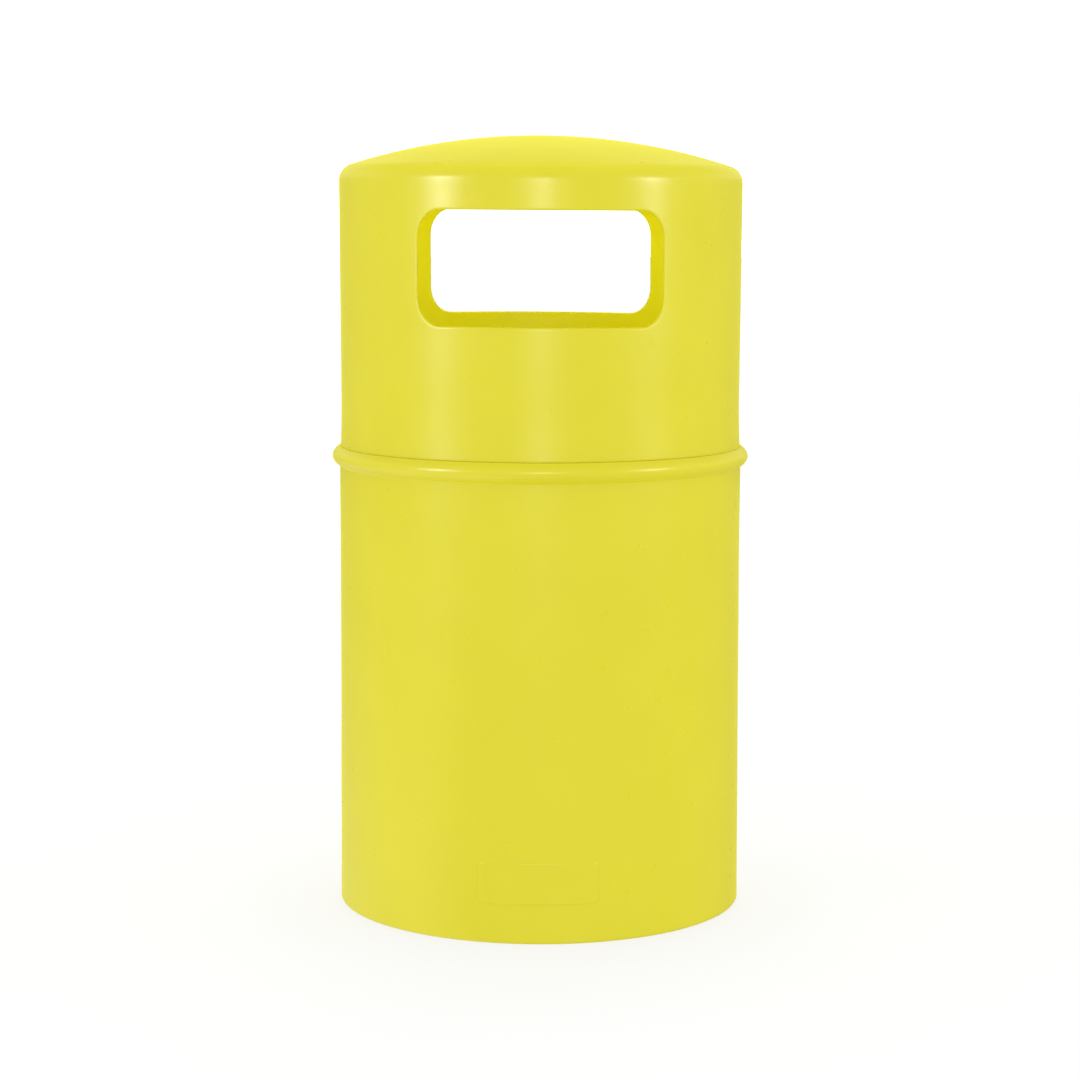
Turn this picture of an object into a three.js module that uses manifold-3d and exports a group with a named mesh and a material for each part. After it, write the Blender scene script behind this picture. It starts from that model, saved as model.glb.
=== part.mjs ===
// Closed-top litter bin: a round, free-standing bin with a domed hood that lifts off,
// a post-box opening front and rear, a cam lock and a lift-out steel liner.
// Millimetres, +Z up. The origin is the centre of the underside and the front faces -Y.

import * as THREE from "three";
import { mergeVertices } from "three/addons/utils/BufferGeometryUtils.js";
import Module from "manifold-3d";

const wasm = await Module();
wasm.setup();

// ---------------------------------------------------------------- driving sizes

const facets = 48; // flats around each large round piece
const smallFacets = 12; // flats around each small turned piece
const lockFacets = 20; // flats around the lock's barrel
const gap = 0.3; // left between two pieces that touch

// body: one moulded tub with a hollow bead under its rim and a raised plinth in its floor
const bodyRadius = 240; // outside, just under the bead
const baseFlare = 1; // how much wider the tub is at its base
const bodyHeight = 551.5; // underside to rim
const wall = 5; // moulded wall of body and hood
const baseEdge = 3.5; // rounding where the wall meets the underside
const beadHeight = 24.5;
const beadDepth = 8.8; // how far the bead stands out of the wall
const plinthRise = 10;
const plinthDraft = 4; // how much narrower the plinth is at its top
const fixingHoleRadius = 6.5; // for ground anchors, four of them
const drainRadius = 10;

// hood: domed cover whose spigot drops into the body
const hoodHeight = 368.2; // rim to crown
const hoodSetback = 2.3; // how far the hood's foot stands in from the body's wall
const hoodFlare = 2.1; // how much wider the hood is at its shoulder
const domeRise = 40; // crown above the corner where the dome would meet the wall
const shoulderRounding = 20;
const spigotDepth = 55;
const spigotClearance = 1.5;
const joggleHeight = 12; // over which the inside steps from the spigot to the wall
const openingWidth = 277;
const openingHeight = 130;
const openingCorner = 34;
const sillHeight = 150.5; // rim to the lower edge of the opening

// lock: a quarter-turn cam lock through the rear of the hood
const lockHeight = 38; // above the rim
const barrelRadius = 9.5;
const lockFlangeRadius = 14;
const lockFlangeThickness = 3;
const gasketThickness = 1.5;
const lockNutRadius = 13.8; // over its corners
const lockNutThickness = 5;
const spindleRadius = 4.8;
const spindleHeadRadius = 7;
const spindleHeadThickness = 4;
const keyStubRadius = 4.4; // over the corners of the three-sided stub that the key turns
const keyStubLength = 4;
const spindleClearance = 0.2;
const camSquare = 6.4; // across the flats of the spindle's square end
const camWidth = 16;
const camReach = 46; // lock axis to the cam's tip
const camThickness = 3;
const camWasherRadius = 6.5;
const camWasherThickness = 1.2;
const camScrewRadius = 2.4;
const camScrewLength = 8; // under its head
const camScrewHeadRadius = 4.6;
const camScrewHeadHeight = 2.5;

// keeper: a bent steel plate bolted to the body, whose ledge the cam turns under
const keeperWidth = 28;
const keeperThickness = 3;
const keeperOffset = 34; // lock axis to the plate's centre, towards -X
const keeperFoot = 38; // height of the bolted foot
const keeperJoggle = 14; // height over which the plate steps inward, clear of the spigot
const keeperSpigotClearance = 1.2;
const keeperCamClearance = 1;
const keeperLedgeOverhang = 2.5; // past the cam's inner face
const boltRadius = 3;
const boltHeadRadius = 6.5;
const boltHeadHeight = 3.3;
const boltPitch = 18;
const boltWasherRadius = 6.5;
const boltWasherThickness = 1.2;
const boltNutRadius = 5.8; // over its corners
const boltNutThickness = 5;
const boltEnd = 2; // thread showing past the nut

// liner: a galvanised sheet bucket with a wired rim and two drop handles
const linerSheet = 1.2;
const linerAboveRim = 5; // the liner's top over the body's rim
const linerLockClearance = 3; // between the liner's rim and the lock's innermost point
const linerPlinthClearance = 3;
const linerBaseClearance = 3; // under the liner's floor, over the plinth
const linerBaseFlange = 12;
const linerDrainRadius = 5;
const linerDrainCircle = 90;
const rimWireRadius = 2;
const curlEnd = 1.2; // how far below the horizontal the rim's curl closes, in radians
const rodSize = 8; // thickness of the handles' rod
const rodChamfer = 2;
const handleWidth = 110; // between the centres of its side bars
const handleDrop = 50; // between the centres of its long bars
const handleCorner = 12;
const handleBelowRim = 26; // pivot under the liner's top
const handleWallClearance = 1.5;
const clipWidth = 36;
const clipThickness = 2.5;
const clipPlate = 32; // length of the riveted plate under the pivot
const clipClearance = 1; // around the rod
const clipWrap = 4.2; // how far the strip bends round the rod, in radians
const rivetRadius = 2.4;
const rivetHeadRadius = 4.5;
const rivetHeadHeight = 2.2;
const rivetPitch = 20;
const rivetDrop = 20; // under the pivot

// ---------------------------------------------------------------- materials

const plastic = { color: 0xe2d93e, roughness: 0.42, metalness: 0 };
const galvanised = { color: 0xa9adb0, roughness: 0.48, metalness: 0.85 };
const zincPlate = { color: 0xb9bcc0, roughness: 0.35, metalness: 0.9 };
const rubber = { color: 0x1c1c1d, roughness: 0.8, metalness: 0 };

// ---------------------------------------------------------------- geometry helpers

// Merges shared corners and drops the slivers that a lathe makes on its axis.
function closed(geometry) {
  const bare = geometry.clone();
  bare.deleteAttribute("normal");
  bare.deleteAttribute("uv");
  const merged = mergeVertices(bare, 1e-4);
  const index = merged.index.array;
  const kept = [];
  for (let i = 0; i < index.length; i += 3) {
    const [a, b, c] = [index[i], index[i + 1], index[i + 2]];
    if (a !== b && b !== c && c !== a) kept.push(a, b, c);
  }
  merged.setIndex(kept);
  return merged;
}

function toSolid(geometry) {
  const mesh = closed(geometry);
  return new wasm.Manifold(
    new wasm.Mesh({
      numProp: 3,
      vertProperties: new Float32Array(mesh.attributes.position.array),
      triVerts: new Uint32Array(mesh.index.array),
    }),
  );
}

function toGeometry(solid) {
  const mesh = solid.getMesh();
  const geometry = new THREE.BufferGeometry();
  geometry.setAttribute("position", new THREE.BufferAttribute(new Float32Array(mesh.vertProperties), 3));
  geometry.setIndex(Array.from(mesh.triVerts));
  return geometry;
}

function cut(geometry, cutters) {
  const solid = cutters.reduce((rest, cutter) => rest.subtract(toSolid(cutter)), toSolid(geometry));
  return toGeometry(solid);
}

function joined(geometries) {
  return toGeometry(geometries.map(toSolid).reduce((sum, part) => sum.add(part)));
}

function common(a, b) {
  return toGeometry(toSolid(a).intersect(toSolid(b)));
}

// Points of an arc in a profile, from one angle to another.
function arc(centreR, centreZ, radius, from, to, steps) {
  return Array.from({ length: steps + 1 }, (_, i) => {
    const angle = from + ((to - from) * i) / steps;
    return [centreR + radius * Math.cos(angle), centreZ + radius * Math.sin(angle)];
  });
}

// Turns a profile of (radius, height) pairs around Y. It runs outside first, from low to high.
function turned(profile, segments = smallFacets) {
  return new THREE.LatheGeometry(
    profile.map(([r, h]) => new THREE.Vector2(r, h)),
    segments,
  );
}

// The same around Z, for the large pieces. A profile off the axis is closed on itself.
function turnedUpright(profile) {
  const onAxis = profile[0][0] === 0;
  return turned(onAxis ? profile : [...profile, profile[0]], facets).rotateX(Math.PI / 2);
}

// A ring around Y between two radii.
function ring(inner, outer, from, to, segments = smallFacets) {
  return turned([[inner, from], [outer, from], [outer, to], [inner, to], [inner, from]], segments);
}

// A plain rod around Y, used as a piece or as a cutter.
function rod(radius, from, to, segments = smallFacets) {
  return turned([[0, from], [radius, from], [radius, to], [0, to]], segments);
}

function roundedRectangle(width, height, corner) {
  const [x, y] = [width / 2, height / 2];
  const outline = new THREE.Shape();
  outline.moveTo(-x + corner, -y);
  outline.absarc(x - corner, -y + corner, corner, -Math.PI / 2, 0);
  outline.absarc(x - corner, y - corner, corner, 0, Math.PI / 2);
  outline.absarc(-x + corner, y - corner, corner, Math.PI / 2, Math.PI);
  outline.absarc(-x + corner, -y + corner, corner, Math.PI, 1.5 * Math.PI);
  outline.closePath();
  return outline;
}

function prism(shape, depth, curveSegments = 4) {
  return new THREE.ExtrudeGeometry(shape, { depth, bevelEnabled: false, curveSegments });
}

// A regular outline with one corner pointing up.
function polygon(sides, radius) {
  const corners = Array.from({ length: sides }, (_, i) => {
    const angle = Math.PI / 2 + (2 * Math.PI * i) / sides;
    return new THREE.Vector2(radius * Math.cos(angle), radius * Math.sin(angle));
  });
  return new THREE.Shape(corners);
}

// Shapes drawn in XY stand in XZ and run along Y.
function prismAlongY(shape, from, to, curveSegments) {
  return prism(shape, to - from, curveSegments).rotateX(Math.PI / 2).translate(0, to, 0);
}

// Shapes drawn in XY stand in YZ, centred on the YZ plane.
function centredAlongX(geometry, depth) {
  return geometry.translate(0, 0, -depth / 2).rotateX(Math.PI / 2).rotateZ(Math.PI / 2);
}

// The middle of a flat is nearer the axis than its corners are.
const flatRadius = (radius) => radius * Math.cos(Math.PI / facets);

// Where a flat piece can sit inside a faceted round wall.
const seatInside = (radius, halfWidth) => Math.sqrt(flatRadius(radius) ** 2 - halfWidth ** 2) - gap;

// ---------------------------------------------------------------- places worked out from the sizes

const baseRadius = bodyRadius + baseFlare;
const bodyInside = bodyRadius - wall;
const beadMiddle = bodyHeight - beadHeight / 2;
const beadBottom = bodyHeight - beadHeight;
const floorTop = wall;
const plinthTop = plinthRise + wall;
const bodyRadiusAt = (z) => bodyRadius + (baseFlare * (beadBottom - z)) / (beadBottom - baseEdge);

const seatHeight = bodyHeight + gap;
const crownHeight = seatHeight + hoodHeight;
const hoodFoot = bodyRadius - hoodSetback;
const hoodShoulder = hoodFoot + hoodFlare;
const spigotOutside = bodyInside - spigotClearance;
const spigotInside = spigotOutside - wall;
const spigotBottom = bodyHeight - spigotDepth;
const domeRadius = (hoodShoulder ** 2 + domeRise ** 2) / (2 * domeRise);
const domeCentre = crownHeight - domeRadius;
const shoulderCentreR = hoodShoulder - shoulderRounding;
const shoulderReach = Math.sqrt((domeRadius - shoulderRounding) ** 2 - shoulderCentreR ** 2);
const shoulderHeight = domeCentre + shoulderReach;
const shoulderAngle = Math.atan2(shoulderReach, shoulderCentreR);
const openingMiddle = seatHeight + sillHeight + openingHeight / 2;
const hoodRadiusAt = (z) => hoodFoot + (hoodFlare * (z - seatHeight)) / (shoulderHeight - seatHeight);

const lockZ = seatHeight + lockHeight;
const hoodAtLock = hoodRadiusAt(lockZ);
const gasketFace = hoodAtLock + gap + gasketThickness;
const flangeBack = gasketFace + gap;
const flangeFront = flangeBack + lockFlangeThickness;
const lockNutFace = seatInside(hoodAtLock - wall, lockNutRadius);

const keeperOutside = spigotInside - keeperSpigotClearance;
const keeperInside = keeperOutside - keeperThickness;
const camFace = Math.sqrt((flatRadius(keeperInside) - keeperCamClearance) ** 2 - camReach ** 2);
const camBack = camFace - camThickness;
const barrelEnd = camFace + gap;
const camWasherFace = camBack - gap;
const camScrewFace = camWasherFace - camWasherThickness - gap;
const lockInnermost = camScrewFace - camScrewHeadHeight;
const spindleHeadFace = flangeFront - keyStubLength;
const spindleHeadBack = spindleHeadFace - spindleHeadThickness;

const rimCurlRadius = rimWireRadius + gap + linerSheet;
const linerRadius = lockInnermost - linerLockClearance - 2 * rimCurlRadius + linerSheet;
const linerInside = linerRadius - linerSheet;
const linerBottom = floorTop + gap;
const linerTop = bodyHeight + linerAboveRim;
const linerFloor = plinthTop + linerBaseClearance;
const rimCurlCentre = linerInside + rimCurlRadius;
const rimCurlHeight = linerTop - rimCurlRadius;
const plinthFoot = flatRadius(linerInside) - linerPlinthClearance;
const plinthEdge = plinthFoot - plinthDraft;
const fixingCircle = (linerRadius + bodyInside) / 2;

const keeperLedgeBottom = lockZ + camWidth / 2 + keeperCamClearance;
const keeperLedgeTop = keeperLedgeBottom + keeperThickness;
const keeperLedgeTip = camBack - keeperLedgeOverhang;
const keeperJoggleTop = spigotBottom - 2 * keeperThickness;
const keeperFootTop = keeperJoggleTop - keeperJoggle;
const keeperFootBottom = keeperFootTop - keeperFoot;
const keeperAngle = Math.asin(keeperOffset / bodyInside);
const boltHeights = [-0.5, 0.5].map((k) => keeperFootBottom + keeperFoot / 2 + k * boltPitch);
const boltHeadSeat = bodyRadiusAt(boltHeights[0]) + gap;
const boltWasherFace = seatInside(bodyInside - gap - keeperThickness, boltWasherRadius);
const boltNutFace = boltWasherFace - boltWasherThickness - gap;

const halfRod = rodSize / 2;
const handleReach = seatInside(linerInside, handleWidth / 2 + halfRod) + gap;
const handlePivotR = handleReach - halfRod - handleWallClearance;
const handlePivotZ = linerTop - handleBelowRim;
const clipFace = seatInside(linerInside, clipWidth / 2);
const rivetZ = handlePivotZ - rivetDrop;

// ---------------------------------------------------------------- body

function bodyShell() {
  const beadRadius = ((beadHeight / 2) ** 2 + beadDepth ** 2) / (2 * beadDepth);
  const beadCentre = bodyRadius + beadDepth - beadRadius;
  const beadAngle = Math.asin(beadHeight / 2 / beadRadius);
  const grooveRadius = beadRadius - wall;
  const grooveAngle = Math.acos((bodyInside - beadCentre) / grooveRadius);
  const outside = [
    [0, plinthRise],
    [plinthEdge - wall, plinthRise],
    [plinthFoot - wall, 0],
    ...arc(baseRadius - baseEdge, baseEdge, baseEdge, -Math.PI / 2, 0, 3),
    ...arc(beadCentre, beadMiddle, beadRadius, -beadAngle, beadAngle, 6),
  ];
  const inside = [
    [bodyInside, bodyHeight],
    ...arc(beadCentre, beadMiddle, grooveRadius, grooveAngle, -grooveAngle, 6),
    [baseRadius - wall, floorTop + baseEdge],
    [baseRadius - wall - baseEdge, floorTop],
    [plinthFoot, floorTop],
    [plinthEdge, plinthTop],
    [0, plinthTop],
  ];
  const drain = rod(drainRadius, plinthRise - wall, plinthTop + wall).rotateX(Math.PI / 2);
  const anchors = [1, 3, 5, 7].map((eighth) =>
    rod(fixingHoleRadius, -wall, floorTop + wall)
      .rotateX(Math.PI / 2)
      .translate(fixingCircle, 0, 0)
      .rotateZ((eighth * Math.PI) / 4),
  );
  return cut(turnedUpright([...outside, ...inside]), [drain, ...anchors, ...boltHoles()]);
}

// Holes for the keeper's two bolts, through the body's wall and the plate.
function boltHoles() {
  return boltHeights.map((z) =>
    rod(boltRadius + gap, keeperInside - wall, boltHeadSeat + wall)
      .translate(0, 0, z)
      .rotateZ(keeperAngle),
  );
}

function keeperBracket() {
  const footOutside = bodyInside - gap;
  const footInside = footOutside - keeperThickness;
  const plate = turnedUpright([
    [footInside, keeperFootBottom],
    [footOutside, keeperFootBottom],
    [footOutside, keeperFootTop],
    [keeperOutside, keeperJoggleTop],
    [keeperOutside, keeperLedgeTop],
    [keeperLedgeTip, keeperLedgeTop],
    [keeperLedgeTip, keeperLedgeBottom],
    [keeperInside, keeperLedgeBottom],
    [keeperInside, keeperJoggleTop],
    [footInside, keeperFootTop],
  ]);
  const strip = new THREE.BoxGeometry(keeperWidth, bodyRadius, bodyRadius + bodyHeight);
  strip.translate(-keeperOffset, bodyRadius, keeperFootBottom + bodyHeight / 2);
  return cut(common(plate, strip), boltHoles());
}

function keeperBolt() {
  const end = boltNutFace - boltNutThickness - boltEnd;
  return turned([
    [0, end],
    [boltRadius, end],
    [boltRadius, boltHeadSeat],
    [boltHeadRadius, boltHeadSeat],
    [boltHeadRadius, boltHeadSeat + 0.4 * boltHeadHeight],
    [0.6 * boltHeadRadius, boltHeadSeat + boltHeadHeight],
    [0, boltHeadSeat + boltHeadHeight],
  ]);
}

function keeperWasher() {
  return ring(boltRadius + gap, boltWasherRadius, boltWasherFace - boltWasherThickness, boltWasherFace);
}

function keeperNut() {
  const nut = prismAlongY(polygon(6, boltNutRadius), boltNutFace - boltNutThickness, boltNutFace);
  return cut(nut, [rod(boltRadius + gap, boltNutFace - 2 * boltNutThickness, boltNutFace + wall)]);
}

// ---------------------------------------------------------------- hood

function hoodShell() {
  const joggleBottom = seatHeight + wall;
  const joggleTop = joggleBottom + joggleHeight;
  const shell = turnedUpright([
    [0, crownHeight - wall],
    ...arc(0, domeCentre, domeRadius - wall, Math.PI / 2, shoulderAngle, 7).slice(1, -1),
    ...arc(shoulderCentreR, shoulderHeight, shoulderRounding - wall, shoulderAngle, 0, 5),
    [hoodRadiusAt(joggleTop) - wall, joggleTop],
    [spigotInside, joggleBottom],
    [spigotInside, spigotBottom],
    [spigotOutside, spigotBottom],
    [spigotOutside, seatHeight],
    [hoodFoot, seatHeight],
    ...arc(shoulderCentreR, shoulderHeight, shoulderRounding, 0, shoulderAngle, 5),
    ...arc(0, domeCentre, domeRadius, shoulderAngle, Math.PI / 2, 7).slice(1, -1),
    [0, crownHeight],
  ]);
  const window = roundedRectangle(openingWidth, openingHeight, openingCorner);
  const throat = prismAlongY(window, -2 * bodyRadius, 2 * bodyRadius, 5).translate(0, 0, openingMiddle);
  const lockHole = rod(barrelRadius + gap, camFace, flangeFront, lockFacets).translate(0, 0, lockZ);
  return cut(shell, [throat, lockHole]);
}

// ---------------------------------------------------------------- lock, around Y through its own axis

function lockHousing() {
  const cup = spindleHeadRadius + spindleClearance;
  const cupFloor = spindleHeadBack - gap;
  const bore = spindleRadius + spindleClearance;
  const chamfer = lockFlangeThickness / 3;
  return turned(
    [
      [bore, barrelEnd],
      [barrelRadius, barrelEnd],
      [barrelRadius, flangeBack],
      [lockFlangeRadius, flangeBack],
      [lockFlangeRadius, flangeFront - chamfer],
      [lockFlangeRadius - chamfer, flangeFront],
      [cup, flangeFront],
      [cup, cupFloor],
      [bore, cupFloor],
      [bore, barrelEnd],
    ],
    lockFacets,
  );
}

// A washer whose back follows the round wall of the hood.
function lockGasket() {
  const washer = ring(barrelRadius + gap, lockFlangeRadius, camFace, gasketFace, lockFacets);
  const hoodSurface = turnedUpright([
    [0, seatHeight],
    [hoodFoot + gap, seatHeight],
    [hoodShoulder + gap, shoulderHeight],
    [0, shoulderHeight],
  ]);
  return cut(washer, [hoodSurface.translate(0, 0, -lockZ)]);
}

function lockNut() {
  const nut = prismAlongY(polygon(6, lockNutRadius), lockNutFace - lockNutThickness, lockNutFace);
  return cut(nut, [rod(barrelRadius + gap, camFace, flangeFront, lockFacets)]);
}

function lockSpindle() {
  const squareEnd = camBack + gap;
  const turnedPart = turned([
    [0, barrelEnd],
    [spindleRadius, barrelEnd],
    [spindleRadius, spindleHeadBack],
    [spindleHeadRadius, spindleHeadBack],
    [spindleHeadRadius, spindleHeadFace],
    [0, spindleHeadFace],
  ]);
  const squareOutline = roundedRectangle(camSquare, camSquare, gap);
  const square = prismAlongY(squareOutline, squareEnd, barrelEnd + camSquare, 1);
  const keyStub = prismAlongY(polygon(3, keyStubRadius), spindleHeadBack, flangeFront);
  const thread = rod(camScrewRadius + gap, camBack - wall, camScrewFace + camScrewLength + gap);
  return cut(joined([turnedPart, square, keyStub]), [thread]);
}

// A bar with round ends that hangs from the lock's axis.
function lockCam() {
  const half = camWidth / 2;
  const outline = new THREE.Shape();
  outline.absarc(0, 0, half, 0, Math.PI);
  outline.absarc(0, half - camReach, half, Math.PI, 2 * Math.PI);
  outline.closePath();
  const hole = camSquare + 2 * gap;
  const squareHole = prismAlongY(roundedRectangle(hole, hole, gap), camBack - wall, camFace + wall, 1);
  return cut(prismAlongY(outline, camBack, camFace, 8), [squareHole]);
}

function camWasher() {
  return ring(camScrewRadius + gap, camWasherRadius, camWasherFace - camWasherThickness, camWasherFace);
}

function camScrew() {
  return turned([
    [0, lockInnermost],
    [0.6 * camScrewHeadRadius, lockInnermost],
    [camScrewHeadRadius, camScrewFace - 0.4 * camScrewHeadHeight],
    [camScrewHeadRadius, camScrewFace],
    [camScrewRadius, camScrewFace],
    [camScrewRadius, camScrewFace + camScrewLength],
    [0, camScrewFace + camScrewLength],
  ]);
}

// ---------------------------------------------------------------- liner

// Where the rivets of one side's clip sit across the clip.
const rivetPlaces = [-rivetPitch / 2, rivetPitch / 2];

// Holes for one side's rivets, through the clip's plate and the sheet behind it.
function rivetHoles() {
  return rivetPlaces.map((y) =>
    rod(rivetRadius + gap, handlePivotR, linerRadius + wall)
      .rotateZ(-Math.PI / 2)
      .translate(0, y, rivetZ),
  );
}

function linerWall() {
  const sheet = turnedUpright([
    [linerInside, linerBottom],
    [linerRadius, linerBottom],
    ...arc(rimCurlCentre, rimCurlHeight, rimCurlRadius - linerSheet, Math.PI, -curlEnd, 6),
    ...arc(rimCurlCentre, rimCurlHeight, rimCurlRadius, -curlEnd, Math.PI, 6),
  ]);
  const farSide = rivetHoles().map((hole) => hole.rotateZ(Math.PI));
  return cut(sheet, [...rivetHoles(), ...farSide]);
}

function linerBase() {
  const edge = linerInside - gap;
  const pan = turnedUpright([
    [0, linerFloor],
    [edge, linerFloor],
    [edge, linerFloor + linerBaseFlange],
    [edge - linerSheet, linerFloor + linerBaseFlange],
    [edge - linerSheet, linerFloor + linerSheet],
    [0, linerFloor + linerSheet],
  ]);
  const drain = () => rod(linerDrainRadius, linerFloor - wall, linerFloor + wall).rotateX(Math.PI / 2);
  const outer = [0, 1, 2, 3].map((quarter) =>
    drain()
      .translate(linerDrainCircle, 0, 0)
      .rotateZ((quarter * Math.PI) / 2),
  );
  return cut(pan, [drain(), ...outer]);
}

function rimWire() {
  return turnedUpright(arc(rimCurlCentre, rimCurlHeight, rimWireRadius, 0, 2 * Math.PI, 8));
}

// One strip of sheet: a plate against the liner's wall, bent over the handle's rod and round it.
function handleClip() {
  const reach = clipFace - handlePivotR;
  const inner = halfRod + clipClearance;
  const outer = inner + clipThickness;
  const strip = new THREE.Shape();
  strip.moveTo(reach, -clipPlate);
  strip.lineTo(reach, outer);
  strip.absarc(0, 0, outer, Math.PI / 2, Math.PI / 2 + clipWrap);
  strip.absarc(0, 0, inner, Math.PI / 2 + clipWrap, Math.PI / 2, true);
  strip.lineTo(reach - clipThickness, inner);
  strip.lineTo(reach - clipThickness, -clipPlate);
  strip.closePath();
  const clip = prismAlongY(strip, -clipWidth / 2, clipWidth / 2, 9);
  return cut(clip.translate(handlePivotR, 0, handlePivotZ), rivetHoles());
}

// Along Y with its outer head at the far end; it is laid along X where it is placed.
function clipRivet() {
  const innerSeat = clipFace - clipThickness - gap;
  const outerSeat = linerRadius + gap;
  return turned([
    [0, innerSeat - rivetHeadHeight],
    [0.6 * rivetHeadRadius, innerSeat - rivetHeadHeight],
    [rivetHeadRadius, innerSeat - 0.4 * rivetHeadHeight],
    [rivetHeadRadius, innerSeat],
    [rivetRadius, innerSeat],
    [rivetRadius, outerSeat],
    [rivetHeadRadius, outerSeat],
    [rivetHeadRadius, outerSeat + 0.4 * rivetHeadHeight],
    [0.6 * rivetHeadRadius, outerSeat + rivetHeadHeight],
    [0, outerSeat + rivetHeadHeight],
  ]).rotateZ(-Math.PI / 2);
}

// A closed loop of rod, eight-sided by its chamfers, that hangs from its top bar.
function dropHandle() {
  const grow = rodSize - 2 * rodChamfer;
  const loop = roundedRectangle(handleWidth + grow, handleDrop + grow, handleCorner + grow / 2);
  loop.holes.push(roundedRectangle(handleWidth - grow, handleDrop - grow, handleCorner - grow / 2));
  const geometry = new THREE.ExtrudeGeometry(loop, {
    depth: grow,
    bevelSize: rodChamfer,
    bevelThickness: rodChamfer,
    bevelSegments: 1,
    curveSegments: 4,
  });
  return centredAlongX(geometry, grow);
}

// ---------------------------------------------------------------- assembly

function piece(name, geometry, look) {
  const mesh = new THREE.Mesh(closed(geometry), new THREE.MeshStandardMaterial(look));
  mesh.name = name;
  return mesh;
}

// The two sides of the liner carry the same pieces, half a turn apart.
const sides = [
  { side: "right", turn: 0 },
  { side: "left", turn: Math.PI },
];

const keeperFasteners = new THREE.Group();
keeperFasteners.rotation.z = keeperAngle;
["lower", "upper"].forEach((place, i) => {
  const fastener = new THREE.Group();
  fastener.position.z = boltHeights[i];
  fastener.add(
    piece(`keeper_bolt_${place}`, keeperBolt(), zincPlate),
    piece(`keeper_washer_${place}`, keeperWasher(), zincPlate),
    piece(`keeper_nut_${place}`, keeperNut(), zincPlate),
  );
  keeperFasteners.add(fastener);
});

const body = new THREE.Group();
body.add(
  piece("body_shell", bodyShell(), plastic),
  piece("keeper_bracket", keeperBracket(), galvanised),
  keeperFasteners,
);

const lock = new THREE.Group();
lock.position.z = lockZ;
lock.add(
  piece("lock_housing", lockHousing(), zincPlate),
  piece("lock_gasket", lockGasket(), rubber),
  piece("lock_nut", lockNut(), zincPlate),
  piece("lock_spindle", lockSpindle(), zincPlate),
  piece("lock_cam", lockCam(), zincPlate),
  piece("cam_washer", camWasher(), zincPlate),
  piece("cam_screw", camScrew(), zincPlate),
);

const hood = new THREE.Group();
hood.add(piece("hood_shell", hoodShell(), plastic), lock);

const liner = new THREE.Group();
liner.add(
  piece("liner_wall", linerWall(), galvanised),
  piece("liner_base", linerBase(), galvanised),
  piece("liner_rim_wire", rimWire(), galvanised),
);
for (const { side, turn } of sides) {
  const fittings = new THREE.Group();
  fittings.rotation.z = turn;
  fittings.add(piece(`handle_clip_${side}`, handleClip(), galvanised));
  ["front", "rear"].forEach((place, i) => {
    const rivet = piece(`clip_rivet_${side}_${place}`, clipRivet(), zincPlate);
    rivet.position.set(0, Math.cos(turn) * rivetPlaces[i], rivetZ);
    fittings.add(rivet);
  });
  const handle = piece(`handle_${side}`, dropHandle(), zincPlate);
  handle.position.set(handlePivotR, 0, handlePivotZ - handleDrop / 2);
  fittings.add(handle);
  liner.add(fittings);
}

const bin = new THREE.Group();
bin.add(body, hood, liner);

export default bin;
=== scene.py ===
import math

import bmesh
import bpy
import numpy as np
from mathutils import Matrix, Vector


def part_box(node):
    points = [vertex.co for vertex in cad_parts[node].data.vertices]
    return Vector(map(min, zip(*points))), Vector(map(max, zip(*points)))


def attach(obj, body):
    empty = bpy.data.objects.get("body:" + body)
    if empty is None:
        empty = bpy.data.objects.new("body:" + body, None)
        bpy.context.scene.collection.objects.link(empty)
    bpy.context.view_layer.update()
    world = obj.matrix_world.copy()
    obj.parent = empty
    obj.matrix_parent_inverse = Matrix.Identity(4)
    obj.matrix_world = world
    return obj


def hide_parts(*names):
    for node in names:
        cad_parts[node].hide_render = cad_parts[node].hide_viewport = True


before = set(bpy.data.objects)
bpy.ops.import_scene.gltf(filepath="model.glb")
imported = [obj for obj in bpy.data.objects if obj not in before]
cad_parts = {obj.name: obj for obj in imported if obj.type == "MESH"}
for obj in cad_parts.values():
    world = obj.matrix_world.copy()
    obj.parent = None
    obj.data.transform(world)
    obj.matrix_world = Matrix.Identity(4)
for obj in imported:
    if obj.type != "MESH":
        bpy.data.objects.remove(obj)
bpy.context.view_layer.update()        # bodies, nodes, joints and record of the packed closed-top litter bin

# Lengths are millimetres until a mesh is made; +Z is up, the front faces -Y and the rear +Y.

MM = 0.001
SEGMENTS = 192  # around the large round pieces
SMALL_SEGMENTS = 48  # around screws, rivets and the lock
LONGEST = 8.0  # longest mesh edge along a profile
SUPPORT = 0.8  # a row this close to each rounding keeps the shading crisp
SHARP_ANGLE = math.radians(38)
SQUARE = ((-1, -1), (1, -1), (1, 1), (-1, 1))
TINY = 1e-6  # below this a length counts as nothing

WALL = 5.0  # moulded wall of body and hood


def node_box(name):
    low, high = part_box(name)
    return np.array(low) / MM, np.array(high) / MM


def node_middle(name):
    low, high = node_box(name)
    return (low + high) / 2


BODY_HIGH = node_box("body_shell")[1]
HOOD_LOW, HOOD_HIGH = node_box("hood_shell")
RIM = BODY_HIGH[2]
CROWN = HOOD_HIGH[2]


# ---- profiles


def unit(v):
    return v / np.linalg.norm(v)


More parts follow.
